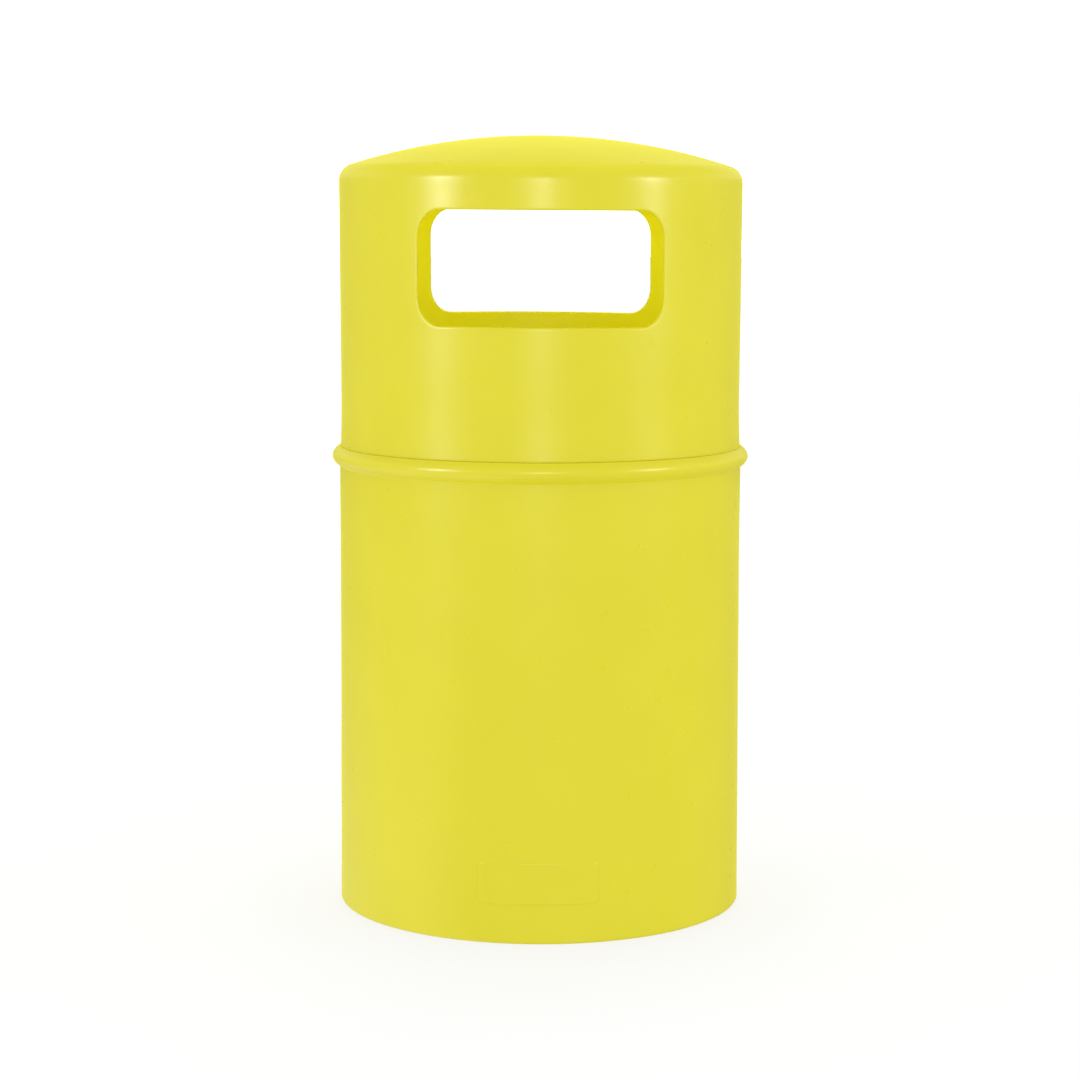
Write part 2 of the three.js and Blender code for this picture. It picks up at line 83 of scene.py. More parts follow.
def rounded(corners, closed=False, steps=5):
    """Points of a line through (x, y, radius) corners, with each corner rounded to its radius."""
    count = len(corners)
    points = []
    for i, (x, y, radius) in enumerate(corners):
        here = np.array((x, y), float)
        if radius == 0 or (not closed and i in (0, count - 1)):
            points.append(here)
            continue
        back = unit(np.array(corners[i - 1][:2], float) - here)
        ahead = unit(np.array(corners[(i + 1) % count][:2], float) - here)
        half = math.acos(np.clip(back @ ahead, -1, 1)) / 2
        centre = here + unit(back + ahead) * radius / math.sin(half)
        reach = radius / math.tan(half)
        start, end = here + back * reach - centre, here + ahead * reach - centre
        sweep = math.pi - 2 * half
        for step in range(steps + 1):
            t = step / steps
            turn = start * math.sin((1 - t) * sweep) + end * math.sin(t * sweep)
            points.append(centre + turn / math.sin(sweep))
    return points


def divided(points, longest=LONGEST, support=SUPPORT):
    """The same line with its long runs cut up, and a row close to each end of a run."""
    out = [np.array(points[0], float)]
    for p, q in zip(points[:-1], points[1:]):
        p, q = np.array(p, float), np.array(q, float)
        length = np.linalg.norm(q - p)
        if length > longest:
            count = math.ceil((length - 2 * support) / longest) + 1
            for along in np.linspace(support, length - support, count):
                out.append(p + (q - p) * along / length)
        out.append(q)
    return out


def arc(centre, radius, start, end, steps):
    """Points of an arc, with its angles in degrees."""
    x, y = centre
    angles = np.radians(np.linspace(start, end, steps + 1))
    return [np.array((x + radius * math.cos(a), y + radius * math.sin(a))) for a in angles]


def without_repeats(points):
    """Leaves out each point that lies on the one before it."""
    return [p for i, p in enumerate(points) if i == 0 or math.dist(p[:2], points[i - 1][:2]) > TINY]


# ---- meshes


class Shape:
    """Points in millimetres and the faces between them."""

    def __init__(self):
        self.points = []
        self.faces = []

    def add(self, points):
        start = len(self.points)
        self.points.extend([tuple(map(float, p)) for p in points])
        return list(range(start, len(self.points)))

    def strip(self, a, b):
        """Quads between two closed rows of points; a row of one point is a pole."""
        count = max(len(a), len(b))
        for i in range(count):
            j = (i + 1) % count
            if len(a) == 1:
                self.faces.append((a[0], b[j], b[i]))
            elif len(b) == 1:
                self.faces.append((a[i], a[j], b[0]))
            else:
                self.faces.append((a[i], a[j], b[j], b[i]))

    def strips(self, rows, closed=False):
        """Quads from each row to the next, and from the last to the first if closed."""
        for a, b in zip(rows, rows[1:] + rows[:1] if closed else rows[1:]):
            self.strip(a, b)

    def cap(self, rows):
        """Closes both ends of a stack of rows."""
        self.faces += [tuple(rows[0]), tuple(reversed(rows[-1]))]

    def moved(self, change):
        """Runs every point, as columns x, y and z, through change."""
        points = np.array(self.points)
        self.points = [tuple(p) for p in change(points)]
        return self

    def join(self, other):
        shift = len(self.points)
        self.points.extend(other.points)
        self.faces.extend([tuple(i + shift for i in face) for face in other.faces])
        return self


def border_of(grid):
    """Once round the outer points of a grid of point numbers."""
    return [int(i) for i in (*grid[:, 0], *grid[-1, 1:], *grid[-2::-1, -1], *grid[0, -2:0:-1])]


def upright(radius, angle, height):
    """Points round Z, where angle 0 is the front."""
    return np.stack([radius * np.sin(angle), -radius * np.cos(angle), height + 0 * angle], -1)


def lathe(profile, segments=SEGMENTS, closed=True, skip=None):
    """Turns (radius, height) points round Z. skip(row, column) leaves a face out."""
    shape = Shape()
    angles = np.arange(segments) * 2 * math.pi / segments
    rows = [shape.add(upright(r, angles[:1] if r < TINY else angles, z)) for r, z in profile]
    pairs = [(i, i + 1) for i in range(len(rows) - 1)] + ([(len(rows) - 1, 0)] if closed else [])
    for i, j in pairs:
        before = len(shape.faces)
        shape.strip(rows[i], rows[j])
        if skip:
            made = shape.faces[before:]
            del shape.faces[before:]
            shape.faces.extend([face for k, face in enumerate(made) if not skip(i, k)])
    return shape, rows


def turned(profile, closed=True):
    """A small turned part: (radius, distance along +Y) points turned round the Y axis."""
    shape, _ = lathe(profile, SMALL_SEGMENTS, closed)
    return shape.moved(lambda p: np.stack([p[:, 0], p[:, 2], -p[:, 1]], -1))


def prism(outline, low, high, place):
    """A flat outline carried from low to high. place puts (u, v, w) points into x, y, z."""
    shape = Shape()
    ends = [shape.add([(u, v, w) for u, v in outline]) for w in (low, high)]
    shape.strip(ends[0], ends[1])
    shape.faces.append(tuple(reversed(ends[0])))
    shape.faces.append(tuple(ends[1]))
    return shape.moved(lambda p: np.stack(place(p[:, 0], p[:, 1], p[:, 2]), -1))


def along_y(u, v, w):
    return u, w, v


def turned_to_x(p):
    """Points of a part made along Y, laid along X."""
    return np.stack([p[:, 1], p[:, 0], p[:, 2]], -1)


def moved_by(offset):
    return lambda p: p + np.array(offset)


def turned_about_z(angle):
    c, s = math.cos(angle), math.sin(angle)
    return lambda p: np.stack([p[:, 0] * c - p[:, 1] * s, p[:, 0] * s + p[:, 1] * c, p[:, 2]], -1)


def placed(name, data):
    obj = bpy.data.objects.new(name, data)
    bpy.context.scene.collection.objects.link(obj)
    return obj


def shaded(mesh):
    mesh.shade_smooth()
    mesh.set_sharp_from_angle(angle=SHARP_ANGLE)
    return mesh


def build(name, shape, bevel=0.0):
    mesh = bpy.data.meshes.new(name)
    mesh.from_pydata([tuple(c * MM for c in p) for p in shape.points], [], shape.faces)
    work = bmesh.new()
    work.from_mesh(mesh)
    bmesh.ops.remove_doubles(work, verts=work.verts, dist=1e-7)
    bmesh.ops.recalc_face_normals(work, faces=work.faces)
    if bevel:
        sharp = [e for e in work.edges if e.is_manifold and e.calc_face_angle(0) > SHARP_ANGLE]
        bmesh.ops.bevel(work, geom=sharp, offset=bevel * MM, segments=2, profile=0.5,
                        affect="EDGES", clamp_overlap=True)
    work.to_mesh(mesh)
    work.free()
    return placed(name, shaded(mesh))


def drilled(obj, cutter_shapes):
    """Cuts the shapes out of obj's mesh."""
    cutters = Shape()
    for cutter_shape in cutter_shapes:
        cutters.join(cutter_shape)
    cutter = build("cutter", cutters)
    modifier = obj.modifiers.new("holes", "BOOLEAN")
    modifier.operation = "DIFFERENCE"
    modifier.solver = "EXACT"
    modifier.object = cutter
    graph = bpy.context.evaluated_depsgraph_get()
    mesh = bpy.data.meshes.new_from_object(obj.evaluated_get(graph))
    obj.modifiers.clear()
    obj.data = shaded(mesh)
    bpy.data.objects.remove(cutter)


def piece(name, shape, body, slot, stands_for=(), bevel=0.0, holes=()):
    """Makes a piece that moves with body and stands for the named CAD nodes."""
    obj = build(name, shape, bevel)
    if holes:
        drilled(obj, holes)
    obj.data.materials.clear()
    obj.data.materials.append(MATERIALS[slot])
    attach(obj, body)
    if stands_for:
        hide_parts(*stands_for)
    return obj


# ---- materials


def colour_ramp(tree, source, stops):
    """stops are (position, colour) pairs, where a colour may be one grey number."""
    node = tree.nodes.new("ShaderNodeValToRGB")
    elements = node.color_ramp.elements
    while len(elements) < len(stops):
        elements.new(0.5)
    for element, (position, colour) in zip(elements, stops):
        element.position = position
        rgb = (colour,) * 3 if isinstance(colour, (int, float)) else colour
        element.color = (*rgb, 1.0)
    tree.links.new(source, node.inputs["Fac"])
    return node.outputs["Color"]


class Nodes:
    """Short calls for a material's node tree."""

    def __init__(self, name):
        self.material = bpy.data.materials.new(name)
        self.material.use_nodes = True
        self.tree = self.material.node_tree
        self.shader = self.tree.nodes["Principled BSDF"]
        coordinates = self.tree.nodes.new("ShaderNodeTexCoord")
        self.place = coordinates.outputs["Object"]
        self.normal = coordinates.outputs["Normal"]

    def link(self, source, target):
        self.tree.links.new(source, target)

    def noise(self, scale, detail, roughness=0.5):
        node = self.tree.nodes.new("ShaderNodeTexNoise")
        node.inputs["Scale"].default_value = scale
        node.inputs["Detail"].default_value = detail
        node.inputs["Roughness"].default_value = roughness
        self.link(self.place, node.inputs["Vector"])
        return node.outputs["Fac"]

    def level(self):
        """How far the surface faces up: 1 when level, 0 on upright walls."""
        node = self.tree.nodes.new("ShaderNodeSeparateXYZ")
        self.link(self.normal, node.inputs[0])
        return node.outputs[2]

    def total(self, a, b):
        node = self.tree.nodes.new("ShaderNodeMath")
        self.link(a, node.inputs[0])
        self.link(b, node.inputs[1])
        return node.outputs[0]

    def cells(self, scale, output="Color"):
        node = self.tree.nodes.new("ShaderNodeTexVoronoi")
        node.inputs["Scale"].default_value = scale
        self.link(self.place, node.inputs["Vector"])
        return node.outputs[output]

    def ramp(self, source, stops):
        return colour_ramp(self.tree, source, stops)

    def between(self, a, b, *noise, **more):
        """Noise turned into values from a to b."""
        return self.ramp(self.noise(*noise, **more), [(0.3, a), (0.7, b)])

    def bump(self, height, strength, distance, under=None):
        node = self.tree.nodes.new("ShaderNodeBump")
        node.inputs["Strength"].default_value = strength
        node.inputs["Distance"].default_value = distance * MM
        self.link(height, node.inputs["Height"])
        if under is not None:
            self.link(under, node.inputs["Normal"])
        return node.outputs["Normal"]

    def finish(self, colour, roughness, normal, **constants):
        self.link(colour, self.shader.inputs["Base Color"])
        self.link(roughness, self.shader.inputs["Roughness"])
        self.link(normal, self.shader.inputs["Normal"])
        for name, value in constants.items():
            self.shader.inputs[name.replace("_", " ")].default_value = value
        return self.material


SHEEN_TINT = (1.0, 0.93, 0.08, 1)


def yellow_plastic(name, dull, bright, smooth, rough, sheen):
    """Moulded polyethylene: self-coloured, with a fine peel, and duller where it faces up."""
    n = Nodes(name)
    colour = n.between(dull, bright, 9, 4)
    roughness = n.between(smooth, rough, 38, 5, roughness=0.6)
    roughness = n.total(roughness, n.ramp(n.level(), [(0.955, 0.0), (0.985, 0.27)]))
    slow = n.bump(n.noise(16, 2), 1.0, 0.10)
    medium = n.bump(n.noise(85, 2), 1.0, 0.010, slow)
    peel = n.bump(n.noise(240, 1), 1.0, 0.0010, medium)
    n.shader.inputs["Sheen Tint"].default_value = SHEEN_TINT
    return n.finish(colour, roughness, peel, IOR=1.5, Sheen_Weight=sheen, Sheen_Roughness=0.3)


CRYSTALS = 95  # zinc crystals to the metre


def galvanised_steel():
    """Hot-dipped sheet: flat grey crystals of different brightness, with soft edges."""
    n = Nodes("galvanised_sheet")
    colour = n.ramp(n.cells(CRYSTALS), [(0.05, (0.49, 0.505, 0.52)), (0.95, (0.66, 0.675, 0.685))])
    roughness = n.ramp(n.cells(CRYSTALS), [(0.0, 0.36), (1.0, 0.58)])
    grain = n.bump(n.cells(CRYSTALS, "Distance"), 0.35, 0.10)
    fine = n.bump(n.noise(700, 3), 0.6, 0.015, grain)
    return n.finish(colour, roughness, fine, Metallic=1.0)


def zinc_plate():
    """Bright plated steel and castings, slightly cloudy."""
    n = Nodes("zinc_plating")
    colour = n.between((0.55, 0.565, 0.58), (0.70, 0.71, 0.715), 160, 4)
    roughness = n.between(0.24, 0.40, 300, 5)
    fine = n.bump(n.noise(1500, 3), 0.5, 0.008)
    return n.finish(colour, roughness, fine, Metallic=1.0)


def black_rubber():
    n = Nodes("black_rubber")
    colour = n.between(0.012, 0.022, 220, 4)
    roughness = n.between(0.68, 0.82, 400, 3)
    return n.finish(colour, roughness, n.bump(n.noise(1200, 3), 0.6, 0.02))


PLASTIC = yellow_plastic("yellow_polyethylene", dull=(0.730, 0.662, 0.0150),
                         bright=(0.752, 0.684, 0.0180), smooth=0.27, rough=0.33, sheen=0.9)
# The inner copy's deeper, less blue yellow is painted bounce light: it stands in for light reflected between
# the yellow inner walls. Its higher roughness and missing sheen are the matt inner face.
INSIDE_PLASTIC_PAINTED_BOUNCE = yellow_plastic("yellow_polyethylene_inside_painted_bounce", dull=(0.735, 0.690, 0.002),
                                bright=(0.755, 0.710, 0.003), smooth=0.52, rough=0.60, sheen=0.0)
MATERIALS = {
    "yellow_plastic": PLASTIC,
    "galvanised_steel": galvanised_steel(),
    "zinc_plate": zinc_plate(),
    "black_rubber": black_rubber(),
}

TO_THE_AXIS = 0.45  # share of an inner wall's normal that points at the Z axis, at least
UP_OR_DOWN = 0.6  # share of a floor's or dome's normal that points up or down, at least
DOME_ABOVE = RIM + 50
FLOOR_WITHIN = 236.0  # radius that the body's inner floor stays within


def matt_inside_painted_bounce(obj, floor_below):
    """The moulding is glossy where it touched the mould, and matt on its free inner face. That inner face
    also gets a deeper, less blue yellow, which is painted bounce light from the yellow inner walls.

    floor_below is the height that the inner floor stays under, or 0 where there is no floor.
    """
    mesh = obj.data
    mesh.materials.append(INSIDE_PLASTIC_PAINTED_BOUNCE)
    size = len(mesh.polygons) * 3
    centres, normals = np.zeros(size), np.zeros(size)
    mesh.polygons.foreach_get("center", centres)
    mesh.polygons.foreach_get("normal", normals)
    centres, normals = centres.reshape(-1, 3), normals.reshape(-1, 3)
    radius = np.hypot(centres[:, 0], centres[:, 1])
    height, up = centres[:, 2], normals[:, 2]
    outward = (centres[:, :2] * normals[:, :2]).sum(1) / np.maximum(radius, TINY)
    under_dome = (up < -UP_OR_DOWN) & (height > DOME_ABOVE * MM)
    on_floor = (up > UP_OR_DOWN) & (height < floor_below * MM) & (radius < FLOOR_WITHIN * MM)
    inner = (outward < -TO_THE_AXIS) | under_dome | on_floor
    mesh.polygons.foreach_set("material_index", inner.astype(np.int32))


# ---- moulded unevenness

LUMP = 0.10  # height of the moulding's slow unevenness
WAVES = 26  # sine waves in that unevenness
WAVES_AROUND = (2, 17)  # how often each goes round the wall: from, and up to but without
WAVE_TILT = 0.045  # radians that each turns with a millimetre of height, at most
BODY_SEED, HOOD_SEED = 11, 23


def waves(angle, height, seed):
    """A smooth seeded field over a round wall, about -1 to 1."""
    random = np.random.default_rng(seed)
    total = np.zeros_like(angle)
    for _ in range(WAVES):
        around = random.integers(*WAVES_AROUND)
        up = random.uniform(-WAVE_TILT, WAVE_TILT)
        phase = random.uniform(0, 2 * math.pi)
        total += np.sin(around * angle + up * height + phase) / math.sqrt(WAVES)
    return total


def ease(x, start, end):
    """0 before start, 1 after end, and smooth between."""
    t = np.clip((x - start) / (end - start), 0, 1)
    return t * t * (3 - 2 * t)


def around_z(points):
    """Radius, angle from the front and height of each point."""
    x, y, z = points.T
    return np.hypot(x, y), np.arctan2(x, -y), z


def pushed_out(points, amount):
    """Moves points away from the Z axis by amount."""
    r = np.maximum(around_z(points)[0], TINY)
    out = points.copy()
    out[:, :2] *= (1 + amount / r)[:, None]
    return out


FITTINGS_X = -17.0  # middle of the lock and keeper together
FITTINGS_SIDE = (55, 95)  # distances from it over which the unevenness comes in again
FITTINGS_UNDER = (400, 440)
FITTINGS_OVER = (640, 690)


def away_from_fittings(points):
    """0 beside the lock and keeper, where parts seat on the wall, and 1 away from them."""
    x, y, z = points.T
    side = ease(np.abs(x - FITTINGS_X), *FITTINGS_SIDE)
    over, under = ease(z, *FITTINGS_OVER), 1 - ease(z, *FITTINGS_UNDER)
    return np.where(y > 0, np.maximum(side, np.maximum(over, under)), 1.0)


# ---- body

BODY_R = 240.0  # outside, just under the bead
BEAD_TIP = BODY_HIGH[0]
BEAD_MIDDLE = RIM - 11.3
BEAD_HALF = 12.2  # half the height of the bead where it leaves the wall
BASE_R = BODY_R + 1.0
PLINTH_R = 197.3  # foot of the raised plinth, on the inside of the floor
PLINTH_RISE = 10.0
PLINTH_DRAFT = 4.0
DRAIN_R = 10.0
ANCHOR_R = 6.5
ANCHOR_CIRCLE = 218.46
WAIST_Z = 400.0
BASE_SWELL = 0.9  # the wall stands out from its waist this far at the bottom
TOP_SWELL = 0.35  # and this far under the bead
BOLT_HOLE_R = 3.3


def bead_line(base, depth, half, low, high, steps):
    """A parabolic ridge of the given depth over base, between two shares of its half height."""
    shares = np.linspace(low, high, steps + 1)
    return [(base + depth * (1 - u * u), BEAD_MIDDLE + half * u) for u in shares]


def body_wall(points):
    """Slow changes of the wall: a slight waist, a fuller base and moulding unevenness."""
    radius, angle, z = around_z(points)
    waist = BASE_SWELL * np.clip((WAIST_Z - z) / WAIST_Z, 0, 1) ** 1.7
    waist = waist + TOP_SWELL * ease(z, WAIST_Z, RIM - 30)
    lumps = LUMP * waves(angle, z, BODY_SEED) * away_from_fittings(points)
    lumps = lumps * (1 - ease(z, RIM - 40, RIM - 5))
    return pushed_out(points, (waist + lumps) * ease(radius, 205, 232))


def body_shape():
    top = (RIM - BEAD_MIDDLE) / BEAD_HALF
    bead = bead_line(BODY_R, BEAD_TIP - BODY_R, BEAD_HALF, -1, top, 12)
    groove = bead_line(BODY_R - WALL, BEAD_TIP - BODY_R - 1.6, BEAD_HALF - 3.0, 1, -1, 10)
    foot = BODY_R - 0.05
    corners = [
        (0, PLINTH_RISE, 0),
        (PLINTH_R - WALL - PLINTH_DRAFT, PLINTH_RISE, 4),
        (PLINTH_R - WALL, 0, 2.5),
        (BASE_R, 0, 3.5),
        (foot, bead[0][1], 2.2),
        *[(r, z, 0) for r, z in bead[1:-1]],
        (bead[-1][0], RIM, 0.5),
        (BODY_R - WALL, RIM, 0.8),
        *[(r, z, 0) for r, z in groove],
        (BODY_R - WALL, groove[-1][1], 2),
        (BASE_R - WALL, WALL, 4),
        (PLINTH_R, WALL, 2.5),
        (PLINTH_R - PLINTH_DRAFT, PLINTH_RISE + WALL, 4),
        (0, PLINTH_RISE + WALL, 0),
    ]
    shape, _ = lathe(divided(rounded(without_repeats(corners))), closed=False)
    return shape.moved(body_wall)


def flared_hole(radius, low, high, edge=1.0, over=2.0):
    """A cutter round Z that also rounds both mouths of the hole it makes."""
    bend = [(radius + edge * (1 - math.sin(a)), edge * (1 - math.cos(a))) for a in np.radians((30, 60, 90))]
    profile = [(0, low - over), (radius + edge, low - over), (radius + edge, low)]
    profile += [(r, low + step) for r, step in bend]
    profile += [(r, high - step) for r, step in reversed(bend)]
    profile += [(radius + edge, high), (radius + edge, high + over), (0, high + over)]
    shape, _ = lathe(profile, SMALL_SEGMENTS, closed=False)
    return shape


def bolt_places():
    """(angle round Z from the rear, height) of the keeper's two bolts."""
    middles = [node_middle(name) for name in ("keeper_bolt_lower", "keeper_bolt_upper")]
    return [(math.atan2(-x, y), z) for x, y, z in middles]


def rod_cutter(radius, start, end):
    return turned([(0, start), (radius, start), (radius, end), (0, end)], closed=False)


def put_on_wall(shape, angle, height):
    return shape.moved(moved_by((0, 0, height))).moved(turned_about_z(angle))


def bolt_holes(start, end):
    """Cutters for the keeper's bolts, between two distances from the Z axis."""
    return [put_on_wall(rod_cutter(BOLT_HOLE_R, start, end), *place) for place in bolt_places()]


def add_body():
    holes = [flared_hole(DRAIN_R, PLINTH_RISE, PLINTH_RISE + WALL)]
    for eighth in (1, 3, 5, 7):
        angle = eighth * math.pi / 4
        middle = (ANCHOR_CIRCLE * math.cos(angle), ANCHOR_CIRCLE * math.sin(angle), 0)
        holes.append(flared_hole(ANCHOR_R, 0, WALL).moved(moved_by(middle)))
    holes += bolt_holes(BODY_R - 3 * WALL, BODY_R + WALL)
    body = piece("bin_body", body_shape(), "body", "yellow_plastic", ["body_shell"], holes=holes)
    matt_inside_painted_bounce(body, PLINTH_RISE + 20)


# A plain raised panel low on the front, moulded with the wall.
PANEL_HALF_WIDTH = 69.0
PANEL_LOW, PANEL_HIGH = 46.0, 95.0
PANEL_CORNER = 7.0
PANEL_PROUD = 0.7
PANEL_EDGE = 1.1  # width of its sloping edge
PANEL_SUNK = 1.0  # its back lies this deep in the wall
PANEL_FOOT = 0.02  # and its edge starts this deep
PANEL_ROWS, PANEL_COLUMNS = 81, 41


def add_panel():
    half_height = (PANEL_HIGH - PANEL_LOW) / 2
    middle = (PANEL_HIGH + PANEL_LOW) / 2
    straight = np.array((PANEL_HALF_WIDTH, half_height)) - PANEL_CORNER

    def clustered(count):
        """-1 to 1, closer together at both ends."""
        return np.sin(np.linspace(-1, 1, count) * math.pi / 2)

    shape = Shape()
    skin = []
    for u in clustered(PANEL_ROWS) * PANEL_HALF_WIDTH:
        beyond = max(abs(u) - straight[0], 0)
        reach = straight[1] + math.sqrt(max(PANEL_CORNER**2 - beyond**2, 0))
        skin.append([(u, t * reach) for t in clustered(PANEL_COLUMNS)])
    flat = np.array(skin).reshape(-1, 2)
    beyond = np.maximum(np.abs(flat) - straight, 0)
    from_corner = PANEL_CORNER - np.hypot(beyond[:, 0], beyond[:, 1])
    from_side = ((PANEL_HALF_WIDTH, half_height) - np.abs(flat)).min(1)
    proud = PANEL_PROUD * ease(np.minimum(from_corner, from_side), 0, PANEL_EDGE) - PANEL_FOOT

    def on_wall(lift):
        height = flat[:, 1] + middle
        points = upright(BASE_R + (BODY_R - BASE_R) * height / BEAD_MIDDLE, flat[:, 0] / BODY_R, height)
        return pushed_out(body_wall(points), lift)

    front = shape.add(on_wall(proud))
    back = shape.add(on_wall(np.full(len(flat), -PANEL_SUNK)))
    grid = np.arange(len(flat)).reshape(PANEL_ROWS, PANEL_COLUMNS)
    for a in grid[:-1, :-1].ravel():
        quad = (a, a + 1, a + PANEL_COLUMNS + 1, a + PANEL_COLUMNS)
        shape.faces.append(tuple(front[k] for k in quad))
        shape.faces.append(tuple(back[k] for k in reversed(quad)))
    border = border_of(grid)
    shape.strip([front[i] for i in border], [back[i] for i in border])
    piece("blank_panel", shape, "body", "yellow_plastic")


# ---- hood

SEAT = RIM + 0.15  # where the hood's foot rests
HOOD_FOOT = HOOD_HIGH[0] - 2.1
SHOULDER_R = HOOD_HIGH[0]
SPIGOT_R = 233.5
SPIGOT_BOTTOM = HOOD_LOW[2]
JOGGLE = 12.0  # height over which the inside steps out from the spigot
DOME_RISE = 40.0
SHOULDER_ROUNDING = 20.0
FOOT_FLARE = 1.6  # the foot spreads over its last stretch
FOOT_FLARE_HEIGHT = 68.0
OPENING_HALF = np.array((138.5, 65.0))
OPENING_CORNER = np.array((25.0, 33.0))  # narrower than high, as cut from a curved wall
OPENING_SILL = 150.5  # height of the opening's lower edge over the seat
OPENING_MIDDLE = SEAT + OPENING_SILL + OPENING_HALF[1]
OPENING_EDGE = 2.0  # rounding of the opening's outer edge
OPENING_INNER_EDGE = 1.5
PATCH_COLUMNS = 21  # half the width of the mesh block round an opening, in segments
PATCH_MARGIN = 14.0  # that block's height over and under the opening
LEAN = 0.0046  # the hood sits slightly askew


def dome_sizes():
    radius = (SHOULDER_R**2 + DOME_RISE**2) / (2 * DOME_RISE)
    centre = CROWN - radius
    reach_in = SHOULDER_R - SHOULDER_ROUNDING
    reach_up = math.sqrt((radius - SHOULDER_ROUNDING) ** 2 - reach_in**2)
    return radius, centre, centre + reach_up, math.degrees(math.atan2(reach_up, reach_in))


DOME_R, DOME_CENTRE, SHOULDER_Z, SHOULDER_ANGLE = dome_sizes()


def hood_radius(z):
    """Outside radius of the hood's wall at a height."""
    straight = HOOD_FOOT + (SHOULDER_R - HOOD_FOOT) * (z - SEAT) / (SHOULDER_Z - SEAT)
    flare = FOOT_FLARE * np.clip(1 - (z - SEAT) / FOOT_FLARE_HEIGHT, 0, 1) ** 2
    return straight + flare


def hood_lean(points):
    """Moulding unevenness of the wall, and the slight lean of the hood above its seat."""
    radius, angle, z = around_z(points)
    lumps = LUMP * waves(angle, z, HOOD_SEED) * away_from_fittings(points) * ease(z, SEAT, SEAT + 50)
    out = pushed_out(points, lumps * ease(radius, 150, 225))
    out[:, 2] -= LEAN * points[:, 0] * ease(z, SEAT + 4, SEAT + 110)
    return out


def window_loop(border, grow):
    """Points of the opening's outline, grown by grow, one for each (x, z) border point."""
    skeleton = OPENING_HALF - OPENING_CORNER
    near = np.clip(border, -skeleton, skeleton)
    away = (border - near) / OPENING_CORNER
    return near + away / np.linalg.norm(away, axis=1)[:, None] * (OPENING_CORNER + grow)


def add_window(shape, outer_rows, inner_rows, columns, side):
    """Fills the two mesh blocks round an opening and joins them through the wall."""
    def flat(loop):
        points = np.array([shape.points[i] for i in loop])
        return points[:, [0, 2]] - (0, OPENING_MIDDLE)

    def at_depth(xz, depth):
        z = xz[:, 1] + OPENING_MIDDLE
        y = np.sqrt((hood_radius(z) - depth) ** 2 - xz[:, 0] ** 2)
        return shape.add(np.stack([xz[:, 0], side * y, z], -1))

    outer, inner = (border_of(np.array(rows)[:, columns].T) for rows in (outer_rows, inner_rows))
    outer_flat, inner_flat = flat(outer), flat(inner)
    loops = [outer]
    for t in (0.3, 0.55, 0.75, 0.9):
        edge = window_loop(outer_flat, OPENING_EDGE)
        loops.append(at_depth(outer_flat + (edge - outer_flat) * t, 0))
    for a in np.radians(np.linspace(0, 90, 6)):
        grow = OPENING_EDGE * (1 - math.sin(a))
        loops.append(at_depth(window_loop(outer_flat, grow), OPENING_EDGE * (1 - math.cos(a))))
    for a in np.radians(np.linspace(0, 90, 5)):
        grow = OPENING_INNER_EDGE * (1 - math.cos(a))
        depth = WALL - OPENING_INNER_EDGE * (1 - math.sin(a))
        loops.append(at_depth(window_loop(outer_flat, grow), depth))
    inner_edge = window_loop(outer_flat, OPENING_INNER_EDGE)
    for t in (0.15, 0.4, 0.7):
        loops.append(at_depth(inner_edge + (inner_flat - inner_edge) * t, WALL))
    loops.append(inner)
    shape.strips(loops)


def hood_shape():
    low, high = (OPENING_MIDDLE + s * (OPENING_HALF[1] + PATCH_MARGIN) for s in (-1, 1))
    block = np.linspace(low, high, 24)
    joggle_low = SEAT + WALL
    under = np.linspace(joggle_low + JOGGLE + 6, low, 17)[:-1]
    over = np.linspace(high, SHOULDER_Z, 4)[1:-1]
    heights = [*under, *block, *over]
    foot = np.linspace(SEAT + 2, under[0], 9)[:-1]
    dome = arc((0, DOME_CENTRE), DOME_R, SHOULDER_ANGLE, 90, 30)
    dome_inside = arc((0, DOME_CENTRE), DOME_R - WALL, 90, SHOULDER_ANGLE, 30)
    centre = (SHOULDER_R - SHOULDER_ROUNDING, SHOULDER_Z)
    shoulder = arc(centre, SHOULDER_ROUNDING, 0, SHOULDER_ANGLE, 14)
    shoulder_inside = arc(centre, SHOULDER_ROUNDING - WALL, SHOULDER_ANGLE, 0, 10)
    spigot = rounded([
        (hood_radius(under[0]) - WALL, under[0], 0),
        (hood_radius(joggle_low + JOGGLE) - WALL, joggle_low + JOGGLE, 6),
        (SPIGOT_R - WALL, joggle_low, 6),
        (SPIGOT_R - WALL, SPIGOT_BOTTOM, 1.5),
        (SPIGOT_R, SPIGOT_BOTTOM, 2),
        (SPIGOT_R, SEAT, 1.0),
        (hood_radius(SEAT), SEAT, 0.6),
        (hood_radius(foot[0]), foot[0], 0),
    ])
    profile = [(0, CROWN), *reversed(dome[:-1]), *reversed(shoulder[1:-1]), (SHOULDER_R, SHOULDER_Z)]
    profile += [(hood_radius(z), z) for z in reversed(heights)]
    first_outer = len(profile) - len(heights)
    profile += [(hood_radius(z), z) for z in reversed(foot[1:])]
    profile += reversed(divided(spigot))
    first_inner = len(profile)
    profile += [(hood_radius(z) - WALL, z) for z in heights[1:]]
    profile += [*reversed(shoulder_inside), *reversed(dome_inside[1:-1]), (0, CROWN - WALL)]
    return profile, first_outer, first_inner, heights, block


